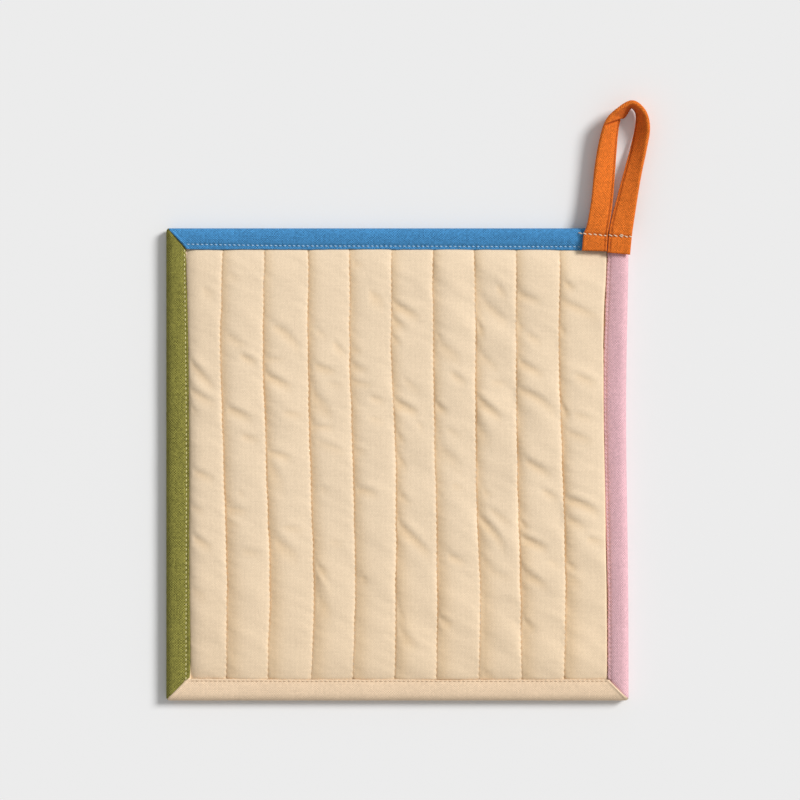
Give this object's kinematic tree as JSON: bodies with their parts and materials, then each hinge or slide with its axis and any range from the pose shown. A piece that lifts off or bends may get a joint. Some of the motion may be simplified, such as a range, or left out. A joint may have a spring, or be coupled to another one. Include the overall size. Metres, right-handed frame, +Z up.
{
  "type": "quilted pot holder",
  "caption": "Square padded pot holder quilted in parallel channels, with a folded binding strip on each edge and a cloth hanging loop at a corner.",
  "frame": {"origin": "on the surface it lies on, under the middle of the whole box, loop included", "axes": "+Z up through the padding from the back to the front, +Y along the quilting channels towards the edge with the hanging loop, +X across the channels towards the loop's corner"},
  "size_m": [0.221, 0.274, 0.011],
  "materials": {
    "panel_cloth": "matt undyed cotton in a fine plain weave with small slubs and flecks",
    "blue_binding": "matt dyed cotton, plain weave, topstitched in a pale thread",
    "green_binding": "matt dyed cotton, fine diagonal rib, topstitched in a pale thread",
    "cream_binding": "matt undyed cotton, plain weave, topstitched in a pale thread",
    "pink_binding": "matt dyed cotton, fine diagonal rib, topstitched in a pale thread",
    "orange_tape": "matt dyed cotton folded into a tape, fine diagonal rib, edge stitched"
  },
  "bodies": {
    "root": {"quilted_panel": "panel_cloth", "binding_top": "blue_binding", "binding_left": "green_binding", "binding_bottom": "cream_binding", "binding_right": "pink_binding", "hanging_loop": "orange_tape"}
  },
  "joints": []
}
